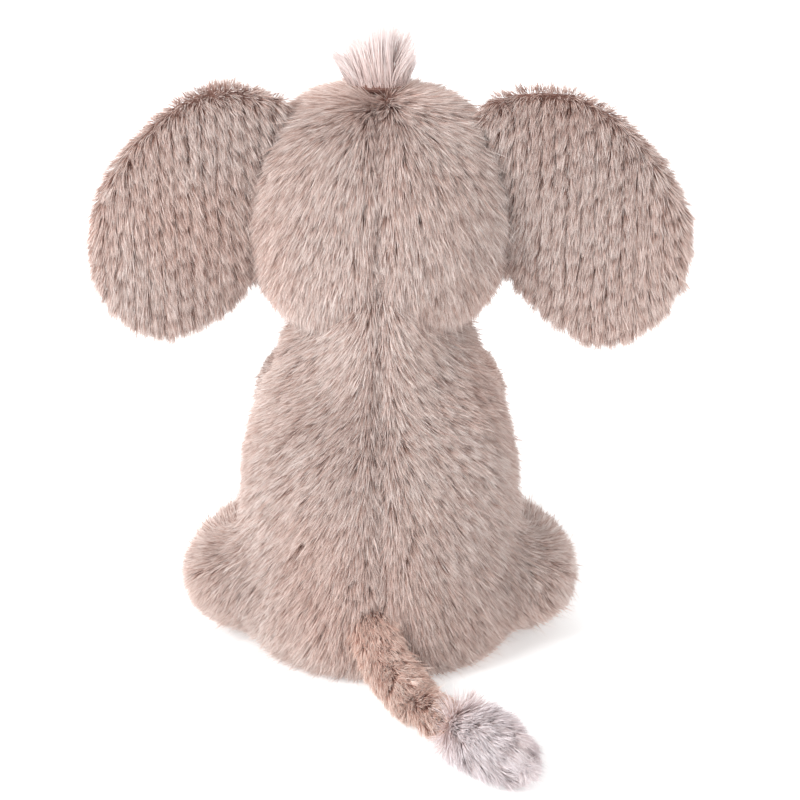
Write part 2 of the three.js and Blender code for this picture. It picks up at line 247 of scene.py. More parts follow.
def mixed(graph, factor, first, second, blend="MIX"):
    """A colour between two, each a Wire or (r, g, b)."""
    full = [(*c, 1) if isinstance(c, tuple) else c for c in (first, second)]
    sockets = {"Factor": factor, 6: full[0], 7: full[1]}
    made = graph.node("ShaderNodeMix", {"data_type": "RGBA", "blend_type": blend}, sockets)
    return made.also(2)


def floor_paint():
    material, graph, shader = new_material("floor_paint")
    tint = mixed(graph, noise_wire(graph, 1.5), (0.86, 0.86, 0.86), (0.88, 0.88, 0.88))
    join_to(graph, shader, Base_Color=tint, Emission_Color=tint)
    shader.inputs["Emission Strength"].default_value = 0.45
    shader.inputs["Roughness"].default_value = 0.9
    return material


TONE_SPREAD = 0.75  # how much one fibre differs from the next in shade
LOCK_TONE_SPREAD = 0.14
PATCH_SPREAD = 0.25  # the same for broad patches
BLUSH = (1.0, 0.90, 0.86)
BLUSH_START = 0.42  # the noise above which a patch turns warmer
BLUSH_STEEPNESS = 2.4


def pile_colour_with_root_shade(name, root, middle, tip):
    """Long pile: darkened at the root by painted shade, the shade deep among the fibres, and pale at the
    tip, each lock and fibre a little different.
    """
    material, graph, shader = new_material(name)
    along, tone, lock_tone = (
        graph.node("ShaderNodeAttribute", {"attribute_name": stored}, {}, "Fac")
        for stored in ("along", "tone", "lock_tone")
    )
    stretch = along + (tone - 0.5) * TONE_SPREAD + (lock_tone - 0.5) * LOCK_TONE_SPREAD
    stretch = stretch + (noise_wire(graph, 22) - 0.5) * PATCH_SPREAD
    # the first stop, the root colour, is painted shade for the dark deep in the pile; the paler stops are
    # the fibres' own colour
    stops = [(0.12, root), (0.5, middle), (0.95, tip)]
    shade = graph.node("ShaderNodeValToRGB", {"stops": stops}, {"Fac": stretch})
    blush = (noise_wire(graph, 13) - BLUSH_START) * BLUSH_STEEPNESS
    join_to(graph, shader, Base_Color=mixed(graph, blush, shade, BLUSH, "MULTIPLY"))
    shader.inputs["Roughness"].default_value = 0.75
    shader.inputs["Specular IOR Level"].default_value = 0.25
    shader.inputs["Sheen Weight"].default_value = 0.15
    return material


def knitted_backing(name, shade, deep):
    """The knitted ground that the pile is rooted in: fine ribs, seen only where the pile parts."""
    material, graph, shader = new_material(name)
    rows = graph.node(
        "ShaderNodeTexWave",
        {"wave_type": "BANDS", "bands_direction": "Z"},
        {"Vector": place_wire(graph), "Scale": 320.0, "Distortion": 1.2},
        "Fac",
    )
    # the deep colour fills the troughs between the ribs as painted shade, and also random patches where the
    # noise is low
    join_to(graph, shader, Base_Color=mixed(graph, rows * noise_wire(graph, 60), deep, shade))
    bump = graph.node("ShaderNodeBump", {}, {"Strength": 0.5, "Distance": 0.0004, "Height": rows})
    join_to(graph, shader, Normal=bump)
    shader.inputs["Roughness"].default_value = 0.95
    return material


def fibre_filling(name, pale, shadow):
    material, graph, shader = new_material(name)
    wisps = noise_wire(graph, 140, 6, 0.7)
    join_to(graph, shader, Base_Color=mixed(graph, wisps, shadow, pale))
    bump = graph.node("ShaderNodeBump", {}, {"Strength": 0.8, "Distance": 0.001, "Height": wisps})
    join_to(graph, shader, Normal=bump)
    shader.inputs["Roughness"].default_value = 1.0
    return material


def moulded_plastic(name, shade, gloss):
    material, graph, shader = new_material(name)
    scuffs = noise_wire(graph, 400, 3, 0.6)
    brighter = tuple(min(1, c * 1.3 + 0.01) for c in shade)
    join_to(graph, shader, Base_Color=mixed(graph, scuffs, shade, brighter))
    join_to(graph, shader, Roughness=scuffs * 0.1 + gloss)
    return material


# ------------------------------------------------------------------ building and finishing meshes
def finished_object(name, built):
    mesh = bpy.data.meshes.new(name)
    built.to_mesh(mesh)
    built.free()
    piece = bpy.data.objects.new(name, mesh)
    bpy.context.scene.collection.objects.link(piece)
    return piece


def paint(piece, material):
    """Gives a piece this material and no other."""
    piece.data.materials.clear()
    piece.data.materials.append(material)


def add_ball(built, middle, radii, around, rings):
    """Adds a closed ball, stretched to its three radii, whose corners always come in the same order."""
    levels = []
    for i in range(1, rings):
        tilt = math.pi * i / rings
        level = []
        for j in range(around):
            turn = 2 * math.pi * j / around
            out = (math.sin(tilt) * math.cos(turn), math.sin(tilt) * math.sin(turn), math.cos(tilt))
            place = [m + r * o for m, r, o in zip(middle, radii, out)]
            level.append(built.verts.new(place))
        levels.append(level)
    top = built.verts.new(middle + Vector((0, 0, radii[2])))
    bottom = built.verts.new(middle - Vector((0, 0, radii[2])))
    for j in range(around):
        k = (j + 1) % around
        built.faces.new((top, levels[0][j], levels[0][k]))
        for above, under in zip(levels, levels[1:]):
            built.faces.new((above[j], under[j], under[k], above[k]))
        built.faces.new((levels[-1][k], levels[-1][j], bottom))


def apply_modifiers(piece):
    graph = bpy.context.evaluated_depsgraph_get()
    made = bpy.data.meshes.new_from_object(
        piece.evaluated_get(graph), preserve_all_data_layers=True, depsgraph=graph
    )
    old = piece.data
    piece.modifiers.clear()
    piece.data = made
    made.name = piece.name
    bpy.data.meshes.remove(old)


def discard(piece):
    mesh = piece.data
    bpy.data.objects.remove(piece)
    bpy.data.meshes.remove(mesh)


def places_of(mesh):
    found = np.zeros(len(mesh.vertices) * 3)
    mesh.vertices.foreach_get("co", found)
    return found.reshape(-1, 3)


def normals_of(mesh):
    found = np.zeros(len(mesh.vertices) * 3)
    mesh.vertex_normals.foreach_get("vector", found)
    return found.reshape(-1, 3)


def put_places(mesh, places):
    mesh.vertices.foreach_set("co", places.astype(np.float32).ravel())
    mesh.update()


def soft_form(name, nodes, voxel=3 * MM, smoothing=8, balls=()):
    """One closed, rounded form that fills the space of some CAD nodes and of some balls."""
    built = bmesh.new()
    for node in nodes:
        built.from_mesh(frame["nodes"][node].data)
    bmesh.ops.remove_doubles(built, verts=built.verts, dist=1e-6)
    for middle, radius in balls:
        place = Matrix.Translation(Vector(middle) * MM)
        bmesh.ops.create_icosphere(built, subdivisions=3, radius=radius * MM, matrix=place)
    form = finished_object(name, built)
    fuse(form, voxel)
    smooth_out(form, smoothing)
    return form


def fuse(form, voxel):
    remesh = form.modifiers.new("remesh", "REMESH")
    remesh.mode = "VOXEL"
    remesh.voxel_size = voxel
    apply_modifiers(form)
    keep_outer_shell(form)


def smooth_out(form, rounds):
    smooth = form.modifiers.new("smooth", "SMOOTH")
    smooth.factor = 0.5
    smooth.iterations = rounds
    apply_modifiers(form)


def offset(form, distance):
    put_places(form.data, places_of(form.data) + normals_of(form.data) * distance)


def span_creases(form, radius, voxel=3 * MM):
    """Stretches a form's skin over its creases, from the side seam back: out, fused, and back in."""
    sharp = tree_of(form)
    offset(form, radius)
    fuse(form, voxel)
    smooth_out(form, 3)
    offset(form, -radius)
    smooth_out(form, 8)
    places = places_of(form.data)
    behind = np.clip((places[:, 1] - SIDE_SEAM) / (15 * MM), 0, 1)
    for i in np.flatnonzero(behind < 1):
        spot = np.array(sharp.find_nearest(Vector(places[i]))[0])
        places[i] += (spot - places[i]) * (1 - behind[i] ** 0.7)
    put_places(form.data, places)


def keep_outer_shell(form):
    """Removes the bubbles that the remesh leaves between two nodes."""
    built = bmesh.new()
    built.from_mesh(form.data)
    left = set(built.verts)
    shells = []
    while left:
        shell = {left.pop()}
        edge = list(shell)
        while edge:
            near = {e.other_vert(v) for v in edge for e in v.link_edges} - shell
            shell |= near
            edge = list(near)
        left -= shell
        shells.append(shell)
    shells.sort(key=len)
    for shell in shells[:-1]:
        bmesh.ops.delete(built, geom=list(shell), context="VERTS")
    built.to_mesh(form.data)
    built.free()


def puff(forms, most=1.5 * MM, steps=10):
    """Fills the covers as stuffing does: pressure from inside, with a cap on how far a point moves."""
    before = [places_of(form.data) for form in forms]
    for form in forms:
        cloth = form.modifiers.new("cloth", "CLOTH")
        cloth.settings.use_pressure = True
        cloth.settings.uniform_pressure_force = 4
        cloth.settings.effector_weights.gravity = 0
        cloth.settings.quality = 4
        cloth.point_cache.frame_end = steps
    for step in range(1, steps + 1):
        bpy.context.scene.frame_set(step)
    for form, old in zip(forms, before):
        apply_modifiers(form)
        moved = places_of(form.data) - old
        far = np.linalg.norm(moved, axis=1, keepdims=True)
        put_places(form.data, old + moved * np.minimum(1, most / np.maximum(far, 1e-9)))
    bpy.context.scene.frame_set(1)


HIP_SWELL = 5 * MM
HIP_SWELL_HEIGHT = 34  # mm over the seat
HIP_SWELL_SPREAD = 20


def widen_hips(form):
    """The filling gathers in the hips and pushes them out."""
    places = places_of(form.data)
    x, y, z = places.T / MM
    beside = np.clip((np.abs(x) - 50) / 18, 0, 1)
    behind_knee = np.clip((y + 58) / 40, 0, 1)
    level = np.exp(-(((z - HIP_SWELL_HEIGHT) / HIP_SWELL_SPREAD) ** 2))
    places[:, 0] += np.sign(x) * HIP_SWELL * (beside * behind_knee) * level
    put_places(form.data, places)


def panel(name, form, planes):
    """The part of a form's skin that lies beyond each plane, given as a point and a direction."""
    built = bmesh.new()
    built.from_mesh(form.data)
    for point, direction in planes:
        geometry = built.verts[:] + built.edges[:] + built.faces[:]
        where = {"plane_co": point, "plane_no": direction}
        bmesh.ops.bisect_plane(built, geom=geometry, dist=1e-6, clear_inner=True, **where)
    return finished_object(name, built)


def tuck(mesh, point, direction, depth, reach):
    """Pulls a skin in along a seam that lies in a plane."""
    places = places_of(mesh)
    away = (places - np.array(point)) @ np.array(Vector(direction).normalized())
    pull = depth * np.exp(-((away / reach) ** 2))
    put_places(mesh, places - normals_of(mesh) * pull[:, None])


# ------------------------------------------------------------------ pile
def unit(vectors):
    return vectors / np.maximum(np.linalg.norm(vectors, axis=1, keepdims=True), 1e-9)


def at_most_one(vectors):
    return vectors / np.maximum(np.linalg.norm(vectors, axis=1, keepdims=True), 1)


def strand(name, rings):
    """One flat fibre bundle along Z, as [height, width], with its share of the length stored."""
    built = bmesh.new()
    share = built.verts.layers.float.new("along")
    rows = []
    for height, width in rings:
        sides = (-0.5, 0.5) if width > 0 else (0,)
        row = [built.verts.new((0, side * width, height)) for side in sides]
        for vert in row:
            vert[share] = height
        rows.append(row)
    for low, high in zip(rows, rows[1:]):
        corners = low + high[::-1]
        for i in range(1, len(corners) - 1):
            built.faces.new((corners[0], corners[i], corners[i + 1]))
    piece = finished_object(name, built)
    bpy.context.scene.collection.objects.unlink(piece)
    return piece


def knitted_rows(graph, here, spacing):
    """From a place to the middle of its stitch, in upright rows that are offset by half a stitch."""
    across, up = spacing
    apart = graph.node("ShaderNodeSeparateXYZ", {}, {"Vector": here})
    x, z = apart, apart.also("Z")
    column = x.maths("FLOOR", x.maths("DIVIDE", x, across))
    shifted = z + column.maths("MODULO", column, 2.0) * (up / 2)
    to_x = (column + 0.5) * across - x
    to_z = (shifted.maths("FLOOR", shifted.maths("DIVIDE", shifted, up)) + 0.5) * up - shifted
    return graph.node("ShaderNodeCombineXYZ", {}, {"X": to_x, "Y": 0.0, "Z": to_z})


def add_lock_values(graph, roots, ground, look):
    """Stores at each root the way to its lock's middle, and what the fibres of one lock share."""
    seed = look["seed"]
    spacing = look["lock"]
    middles = graph.node(
        "GeometryNodeDistributePointsOnFaces",
        {"distribute_method": "POISSON"},
        {"Mesh": ground, "Distance Min": spacing, "Density Max": 4 / spacing**2, "Seed": seed + 1},
    )
    here = graph.node("GeometryNodeInputPosition")
    nearest = graph.node(
        "GeometryNodeSampleNearest", {"domain": "POINT"}, {"Geometry": middles, "Sample Position": here}
    )

    def of_lock(value, kind):
        settings = {"data_type": kind, "domain": "POINT"}
        sockets = {"Geometry": middles, "Value": value, "Index": nearest}
        return graph.node("GeometryNodeSampleIndex", settings, sockets)

    if "rows" in look:
        toward = knitted_rows(graph, here, look["rows"])
    else:
        toward = of_lock(here, "FLOAT_VECTOR") - here
    lock_tone = of_lock(graph.random(0.0, 1.0, seed + 2), "FLOAT")
    lock_turn = of_lock(graph.any_way(seed + 8), "FLOAT_VECTOR")
    points = graph.store(roots, "to_lock", toward, "FLOAT_VECTOR")
    points = graph.store(points, "tone", graph.random(0.0, 1.0, seed + 3))
    points = graph.store(points, "lock_tone", lock_tone)
    return graph.store(points, "lock_turn", lock_turn, "FLOAT_VECTOR")


def fibre_turns(graph, out, look):
    """How each fibre stands: between straight out and the comb, or up and fanned, and rolled at random."""
    seed = look["seed"]
    stray = graph.any_way(seed + 4).scaled(look["stray"])
    stray = stray + graph.attribute("lock_turn", "FLOAT_VECTOR").scaled(look["lock_stray"])
    if "fan" in look:
        direction = graph.attribute("fan_out", "FLOAT_VECTOR").scaled(look["fan"]) + stray
        direction = direction + (0.0, 0.0, 1.0)
    else:
        comb = graph.attribute("comb", "FLOAT_VECTOR")
        direction = out.scaled(look["rise"]) + comb.scaled(look["lean"]) + stray
    turn = graph.node("FunctionNodeAlignRotationToVector", {"axis": "Z"}, {"Vector": direction})
    angle = graph.random(0.0, math.pi, seed + 5)
    roll = graph.node("FunctionNodeAxisAngleToRotation", {}, {"Axis": (0, 0, 1), "Angle": angle})
    return graph.node("FunctionNodeRotateRotation", {"rotation_space": "LOCAL"}, {0: turn, 1: roll})


SHORTEST = 0.72  # as a share of the pile's length there
LONGEST = 1.08


def fibre_sizes(graph, look):
    """Each fibre's width and length. A few fly away from the rest, and locks differ."""
    seed = look["seed"]
    flyaway = graph.random(0.0, 1.0, seed + 6) > 1 - look["flyaways"]
    share = graph.random(SHORTEST, LONGEST, seed + 7) + flyaway * look["flyaway_length"]
    uneven = graph.attribute("lock_tone") * (1.4 * look["uneven"]) + (1 - look["uneven"])
    length = graph.attribute("reach") * share * uneven
    return graph.node("ShaderNodeCombineXYZ", {}, {"X": 1.0, "Y": look["width"], "Z": length})


def bend_fibres(graph, grown, look):
    """Draws the tips of a lock together, and lets them droop along the comb."""
    along = graph.attribute("along")
    gather = graph.attribute("to_lock", "FLOAT_VECTOR").scaled(along**1.4 * look["gather"])
    comb = graph.attribute("comb", "FLOAT_VECTOR")
    droop = comb.scaled(along**2.0 * graph.attribute("reach") * look["curl"])
    return graph.node("GeometryNodeSetPosition", {}, {"Geometry": grown, "Offset": gather + droop})


def pile_nodes(name, fibre, look):
    """A node group that grows fibres on a mesh with the attributes comb, fan_out, reach and thick."""
    tree = bpy.data.node_groups.new(name, "GeometryNodeTree")
    for way in ("INPUT", "OUTPUT"):
        tree.interface.new_socket("Geometry", in_out=way, socket_type="NodeSocketGeometry")
    graph = Graph(tree)
    ground = graph.node("NodeGroupInput")
    density = graph.attribute("thick") * look["density"]
    roots = graph.node(
        "GeometryNodeDistributePointsOnFaces",
        {"distribute_method": "RANDOM"},
        {"Mesh": ground, "Density": density, "Seed": look["seed"]},
    )
    shape = graph.node("GeometryNodeObjectInfo", {"transform_space": "ORIGINAL"}, {"Object": fibre})
    sockets = {
        "Points": add_lock_values(graph, roots, ground, look),
        "Instance": shape.also("Geometry"),
        "Rotation": fibre_turns(graph, roots.also("Normal"), look),
        "Scale": fibre_sizes(graph, look),
    }
    grown = graph.node("GeometryNodeInstanceOnPoints", {}, sockets)
    grown = graph.node("GeometryNodeRealizeInstances", {}, {"Geometry": grown})
    graph.node("NodeGroupOutput", {}, {"Geometry": bend_fibres(graph, grown, look)})
    return tree


def press_on_floor(mesh):
    """Fibres that meet the floor bend and lie on it."""
    places = places_of(mesh)
    places[:, 2] = np.maximum(places[:, 2], 0.2 * MM)
    put_places(mesh, places)


def grow_pile(name, skin, comb, reach, thick, fibre, look, material):
    """Pile on a skin. comb, reach and thick hold a value for each of its vertices."""
    piece = bpy.data.objects.new(name, skin.data.copy())
    piece.data.name = name
    bpy.context.scene.collection.objects.link(piece)
    mesh = piece.data
    normals = normals_of(mesh)
    flat = comb - normals * (comb * normals).sum(1)[:, None]
    strength = np.clip(np.linalg.norm(flat, axis=1, keepdims=True), 0.5, 1)
    values = {"comb": flat / strength, "fan_out": comb, "reach": reach, "thick": thick}
    for key, numbers in values.items():
        kind, field = ("FLOAT_VECTOR", "vector") if numbers.ndim == 2 else ("FLOAT", "value")
        stored = mesh.attributes.new(key, kind, "POINT")
        stored.data.foreach_set(field, numbers.astype(np.float32).ravel())
    grower = piece.modifiers.new("pile", "NODES")
    grower.node_group = pile_nodes(name, fibre, look)
    apply_modifiers(piece)
    press_on_floor(piece.data)
    for key in (*values, "to_lock", "lock_turn"):
        if key in piece.data.attributes:
            piece.data.attributes.remove(piece.data.attributes[key])
    paint(piece, material)
    return piece


# ------------------------------------------------------------------ how the pile lies
def down_and_out(places, normals):
    """On the torso: down, and away from the centre seam, and outwards underneath."""
    x, y, z = places.T / MM
    high = np.clip((z - 50) / 70, 0, 1)
    side = (0.42 + 0.4 * high) * np.tanh(x / (26 - 16 * high))
    under = np.clip(-normals[:, 2], 0, 1)
    flow = np.stack([side, 0 * x, -1 + 0 * z], axis=1)
    return at_most_one(flow + 2.5 * under[:, None] * unit(np.stack([x, y, 0 * z], axis=1)))


def from_crown(places, normals):
    """On the head: away from the crown, turning down lower on the head."""
    away = places - np.array(CROWN)
    reach = np.linalg.norm(away, axis=1, keepdims=True) / (55 * MM)
    pressed = 1 + 1.3 * np.exp(-(reach**2))
    return unit(unit(away) + np.array([0, 0, -1.3]) * np.clip(reach, 0, 1)) * pressed


def along_route(route):
    """Along a limb, from its root to its end. The route is in millimetres."""
    points = np.array(route, float) * MM
    steps = unit(np.diff(points, axis=0))
    middles = (points[1:] + points[:-1]) / 2

    def flow(places, normals):
        gaps = ((places[:, None, :] - middles[None]) ** 2).sum(2)
        weights = np.exp(-gaps / (12 * MM) ** 2) + 1e-9
        return unit((weights[:, :, None] * steps[None]).sum(1))

    return flow


def over_ear(mirror):
    """On an ear: away from its root, down, and out over its rim."""
    middle = np.array([86 * mirror, 0, 203]) * MM

    def flow(places, normals):
        rim = places - middle
        edge = np.clip(np.linalg.norm(rim, axis=1) / (50 * MM), 0, 1) ** 4
        edge *= np.clip(0.6 - rim[:, 2] / (40 * MM), 0, 1)
        standing = np.clip((rim[:, 2] - 44 * MM) / (8 * MM), 0, 1)
        down = np.array([-0.15 * mirror, 0, -1]) * (1 - standing[:, None])
        return at_most_one(down + 1.2 * edge[:, None] * unit(rim)) * 1.15

    return flow


def along_arm(mirror):
    shoulder, elbow = (35 * mirror, -21, 117), (39 * mirror, -38, 108)
    wrist, hand = (39 * mirror, -55, 95), (35 * mirror, -67, 81)
    return along_route([shoulder, elbow, wrist, hand])


def thigh_and_leg(mirror):
    """Down over the hip, and along the leg in front of it."""
    along_leg = along_route([(59 * mirror, -10, 28), (57 * mirror, -38, 26), (46 * mirror, -70, 24)])

    def flow(places, normals):
        front = np.clip((6 * MM - places[:, 1]) / (30 * MM), 0, 1)[:, None]
        hip = np.tile(np.array([0.45 * mirror, 0.1, -0.9]), (len(places), 1))
        return hip * (1 - front) + along_leg(places, normals) * front

    return flow


# ------------------------------------------------------------------ dressing a part
def height_over(places, form):
    """How far each place stands out of a closed form's skin, negative inside it."""
    tree = tree_of(form)
    heights = np.zeros(len(places))
    for i, place in enumerate(places):
        spot, normal, _, _ = tree.find_nearest(Vector(place))
        heights[i] = (Vector(place) - spot).dot(normal)
    return heights


def tree_of(form):
    if form.name not in skin_trees:
        built = bmesh.new()
        built.from_mesh(form.data)
        skin_trees[form.name] = BVHTree.FromBMesh(built)
        built.free()
    return skin_trees[form.name]


skin_trees = {}  # for each form's name, a search tree of its skin as it was when first asked for
PILE = {  # how pile looks unless a part's own look says otherwise
    "density": 7.2e6,
    "lock": LOCK_SPACING,
    "rise": 1.0,
    "lean": 0.72,
    "stray": 0.32,
    "lock_stray": 0.26,
    "gather": 0.42,
    "curl": 0.28,
    "uneven": 0.15,
    "flyaways": 0.014,
    "flyaway_length": 0.8,
    "width": PILE_WIDTH,
}


def cut_hidden(skin, form, depth=7 * MM):
    """Removes the part of a skin that lies deep inside another form."""
    heights = height_over(places_of(skin.data), form)
    built = bmesh.new()
    built.from_mesh(skin.data)
    built.verts.ensure_lookup_table()
    deep = [built.verts[i] for i in np.flatnonzero(heights < -depth)]
    bmesh.ops.delete(built, geom=deep, context="VERTS")
    built.to_mesh(skin.data)
    built.free()


def follow(piece, body):
    """body is the name of a CAD body, which the piece is attached to, or two of them and two places, for
    which the piece is only baked into place and does not bend.
    """
    if isinstance(body, str):
        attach(piece, body)
    else:
        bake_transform(piece)


SEAM_DEPTH = 2.2 * MM
SEAM_REACH = 4 * MM


def part_at_seam(mesh, seam, lengths, thick):
    """Pulls a skin in along a seam. Returns the pile's lengths and thickness, both less there."""
    point, direction = seam
    away = np.abs((places_of(mesh) - np.array(point)) @ np.array(direction))
    tuck(mesh, point, direction, SEAM_DEPTH, SEAM_REACH)
    shorter = 1 - 0.3 * np.exp(-((away / (3 * MM)) ** 2))
    thinner = 1 - 0.45 * np.exp(-((away / (1.5 * MM)) ** 2))
    return lengths * shorter, thick * thinner


LOWEST_ROOT = 0.6  # mm over the floor, where pile starts


def dress(name, form, body, planes, flow, reach, material, look=None, buried=(), seam=None, hidden=None):
    """A panel of backing cut from a form, and the pile that grows on it. Returns the two pieces.

    No pile grows inside the buried forms, and the part of the panel deep in the hidden one is left out.
    """
    skin = panel(name, form, planes)
    if hidden:
        cut_hidden(skin, hidden)
    mesh = skin.data
    places, normals = places_of(mesh), normals_of(mesh)
    thick = np.clip(places[:, 2] / MM - LOWEST_ROOT, 0, 1)
    for other in buried:
        thick *= np.clip(height_over(places, other) / MM - 0.5, 0, 1)
    lengths = reach(places, normals) if callable(reach) else np.full(len(places), reach)
    if seam:
        lengths, thick = part_at_seam(mesh, seam, lengths, thick)
    look = {**PILE, **(look or {}), "seed": sum(ord(c) for c in name)}
    comb = flow(places, normals)
    pile = grow_pile(f"{name}_pile", skin, comb, lengths, thick, fibres["short"], look, material)
    solid = skin.modifiers.new("thickness", "SOLIDIFY")
    solid.thickness = BACKING
    solid.offset = -1
    apply_modifiers(skin)
    paint(skin, backing)
    for piece in (skin, pile):
        follow(piece, body)
    return skin, pile


EVERYWHERE = []


def plane(x, y, z, direction):
    return (Vector((x, y, z)), Vector(direction))


CENTRE_SEAM = plane(0, 0, 0, (1, 0, 0))
TORSO_PILE = 8.5 * MM
SEAT_PILE = 2.2 * MM
HEAD_PILE = 8 * MM
NAPE_PILE = (3.8, 8.5)  # mm, under the head and clear of it


def dress_torso(whole, torso, limbs):
    """The back and hips from the skin that spans the creases, the front and seat from the torso alone."""
    above = plane(0, 0, SEAT_SEAM, (0, 0, 1))
    below_neck = plane(0, 0, NECK_FOOT, (0, 0, -1))
    behind = [plane(0, SIDE_SEAM, 0, (0, 1, 0)), above, below_neck]
    for name, mirror in (LEFT, RIGHT):
        back = [plane(0, 0, 0, (mirror, 0, 0)), plane(HIP * mirror, 0, 0, (-mirror, 0, 0)), *behind]
        skin, _ = dress(
            f"back_{name}", whole, "torso", back, down_and_out, TORSO_PILE, fur, seam=CENTRE_SEAM
        )
        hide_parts(f"back_panel_{name}")
        bend = ("torso", f"leg_{name}", (HIP * mirror, 0, 28 * MM), (HIP_END * mirror, 0, 28 * MM))
        side = [plane(HIP * mirror, 0, 0, (mirror, 0, 0)), *behind]
        dress(f"hip_{name}", whole, bend, side, down_and_out, TORSO_PILE, fur)
    front = [plane(0, SIDE_SEAM, 0, (0, -1, 0)), above, below_neck]
    skin, _ = dress("belly", torso, "torso", front, down_and_out, TORSO_PILE, fur, FRONT, limbs)
    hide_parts("belly_panel")
    seat = [plane(0, 0, SEAT_SEAM, (0, 0, -1))]
    skin, _ = dress("seat", torso, "torso", seat, down_and_out, SEAT_PILE, fur, UNDERSIDE, limbs)
    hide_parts("seat_panel")


def dress_neck(whole, head, arms):
    """The pile runs on for a little way under the head, so that it still covers when the head nods."""
    bend = ("torso", "neck", (0, 0, NECK_FOOT + 3 * MM), (0, 0, 162 * MM))
    planes = [plane(0, 0, NECK_FOOT, (0, 0, 1))]

    def shorter_inside(places, normals):
        clear = np.clip(height_over(places, head) / (3 * MM) + 0.5, 0, 1)
        under, free = NAPE_PILE
        return (under + (free - under) * clear) * MM

    skin, _ = dress(
        "neck", whole, bend, planes, down_and_out, shorter_inside, fur,
        buried=arms, seam=CENTRE_SEAM, hidden=head,
    )
    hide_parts("neck_band")


def face_reach(places, normals):
    """Shorter round the eyes and the root of the trunk."""
    lengths = np.full(len(places), 8.0)
    for spot, radius in (((25, -47, 208), 13), ((-25, -47, 208), 13), ((0, -52, 190), 26)):
        away = np.linalg.norm(places / MM - np.array(spot), axis=1)
        lengths -= 4.2 * np.exp(-((away / radius) ** 2))
    return lengths * MM


def dress_head(form, others):
    for name, mirror in (LEFT, RIGHT):
        planes = [plane(0, 0, 0, (mirror, 0, 0)), plane(0, SIDE_SEAM, 0, (0, 1, 0))]
        skin, _ = dress(
            f"head_{name}", form, "head", planes, from_crown, HEAD_PILE, fur, buried=others, seam=CENTRE_SEAM
        )
        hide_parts(f"head_panel_{name}")
    front = [plane(0, SIDE_SEAM, 0, (0, -1, 0))]
    skin, _ = dress("face", form, "head", front, from_crown, face_reach, fur, FRONT, others)
    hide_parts("face_panel")


LAY_BACK = {"left": 16, "right": 3}  # degrees between an ear and the sideways direction
EAR_BACK_PILE = 7.5 * MM
EAR_LINING_PILE = 5.5 * MM


def ear_plane(name):
    """The plane between an ear's back and its lining."""
    hinge = next(j for j in frame["joints"] if j["name"] == f"ear_{name}_flap")
    axis = Vector(hinge["axis"])
    facing = Matrix.Rotation(-math.radians(LAY_BACK[name]), 3, axis) @ Vector((0, 1, 0))
    return Vector(hinge["pos_m"]), facing


def dress_ear(name, mirror, head):
    """An ear's form, and the function that dresses it once the form is puffed out."""
    nodes = [f"ear_{part}_{name}" for part in ("back", "lining", "batting")]
    body = f"ear_{name}"
    form = soft_form(f"{body}_form", nodes, 2 * MM)

    def finish():
        point, facing = ear_plane(name)
        flow = over_ear(mirror)
        back = [(point, facing)]
        skin, _ = dress(f"{body}_outer", form, body, back, flow, EAR_BACK_PILE, fur, EAR_BACK, [head])
        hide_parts(f"ear_back_{name}")
        front = [(point, -facing)]
        skin, _ = dress(f"{body}_inner", form, body, front, flow, EAR_LINING_PILE, lining, FRONT, [head])
        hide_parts(f"ear_lining_{name}")

    return form, finish


FRONT = {"density": 3e6, "width": 0.4 * MM}
EAR_BACK = {"rows": (5.7 * MM, 7.5 * MM), "gather": 0.46}
UNDERSIDE = {"density": 2e6, "lean": 1.4, "rise": 0.25, "width": 0.4 * MM, "flyaways": 0.0}
SHORT = {"density": 3.8e6, "lock": 3 * MM, "gather": 0.4, "width": 0.32 * MM, "flyaways": 0.0}
SOLE = {"density": 8e6, "lock": 2 * MM, "gather": 0.12, "stray": 0.5, "width": 0.3 * MM, "flyaways": 0.0}
TAIL_PILE = {"lock": 4 * MM, "rise": 0.7, "lean": 1.0, "stray": 0.35}
TUFT_HAIR = {
    "density": 5e6,
    "lock": 4.2 * MM,
    "stray": 0.12,
    "gather": 0.75,
    "lock_stray": 0.2,
    "uneven": 0.5,
    "curl": 0.15,
    "flyaways": 0.03,
    "flyaway_length": 0.15,
    "width": 0.26 * MM,
    "fan": 0.3,
    "seed": 71,
}
BRUSH_HAIR = {
    "density": 7e6,
    "lock": 4.5 * MM,
    "rise": 0.45,
    "lean": 1.0,
    "stray": 0.22,
    "gather": 0.35,
    "lock_stray": 0.15,
    "uneven": 0.3,
    "curl": 0.25,
    "flyaways": 0.02,
    "flyaway_length": 0.3,
    "width": 0.26 * MM,
    "seed": 88,
}


fibres = {
    "short": strand("short_fibre", [(0, 0), (0.45, 1), (1, 0)]),
    "long": strand("long_fibre", [(0, 0.7), (0.3, 1), (0.65, 0.8), (1, 0)]),
}
# in each pile's three colours, the first, darkest one is painted shade at the roots; the other two are the
# pile's own colour
fur = pile_colour_with_root_shade("fur_pile", (0.28, 0.155, 0.12), (0.60, 0.425, 0.37), (0.86, 0.77, 0.73))
tail_fur = pile_colour_with_root_shade("tail_fur", (0.48, 0.26, 0.20), (0.78, 0.57, 0.49), (0.90, 0.79, 0.73))
lining = pile_colour_with_root_shade("lining_pile", (0.45, 0.29, 0.25), (0.74, 0.56, 0.51), (0.88, 0.79, 0.75))
sole_pile = pile_colour_with_root_shade("sole_pile", (0.45, 0.30, 0.26), (0.72, 0.55, 0.50), (0.86, 0.76, 0.72))
tuft_hair = pile_colour_with_root_shade("tuft_hair", (0.80, 0.68, 0.66), (0.90, 0.83, 0.82), (0.94, 0.91, 0.92))
tail_hair = pile_colour_with_root_shade("tail_hair", (0.78, 0.64, 0.62), (0.84, 0.75, 0.75), (0.88, 0.83, 0.85))
